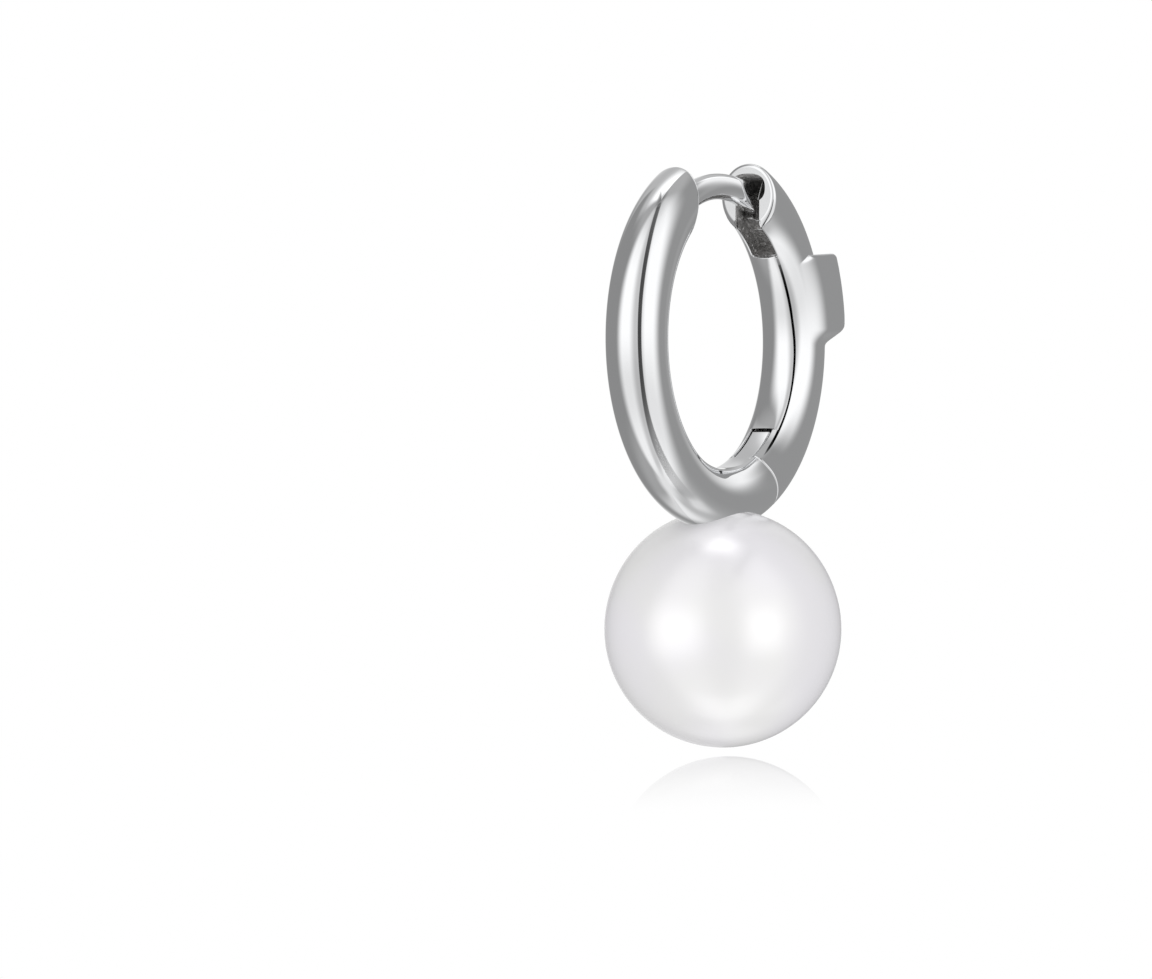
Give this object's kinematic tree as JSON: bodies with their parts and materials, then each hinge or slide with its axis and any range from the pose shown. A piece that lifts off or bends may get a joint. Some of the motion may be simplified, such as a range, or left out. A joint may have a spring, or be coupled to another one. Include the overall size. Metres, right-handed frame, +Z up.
{
  "type": "pearl huggie earring",
  "caption": "Round-wire silver huggie hoop with a curved ear post, a hinged latch arm with a thumb tab, and a round white pearl fixed below it.",
  "frame": {"origin": "on the ear post's centreline at the crest of its curve, midway between the hoop's end and the latch arm's end, where the ear lobe carries it", "axes": "+Z up as worn, away from the pearl; the ring lies in the X-Z plane with the plain front at -X and the hinged latch arm with its thumb tab at +X; +Y across the ring's wire"},
  "size_m": [0.013, 0.008, 0.0197],
  "materials": {
    "polished_silver": "mirror polished, rough cast inside the channel and slot",
    "pearl": "soft nacre lustre"
  },
  "bodies": {
    "hoop": {"hoop": "polished_silver", "pearl": "pearl"},
    "latch_arm": {"latch_arm": "polished_silver", "hinge_pin": "polished_silver"}
  },
  "joints": [
    {"name": "latch_arm_hinge", "type": "hinge", "parent": "hoop", "child": "latch_arm", "pos_m": [0.00295, 0, -0.01033], "axis": [0, 1, 0], "range_deg": [0, 45]}
  ]
}
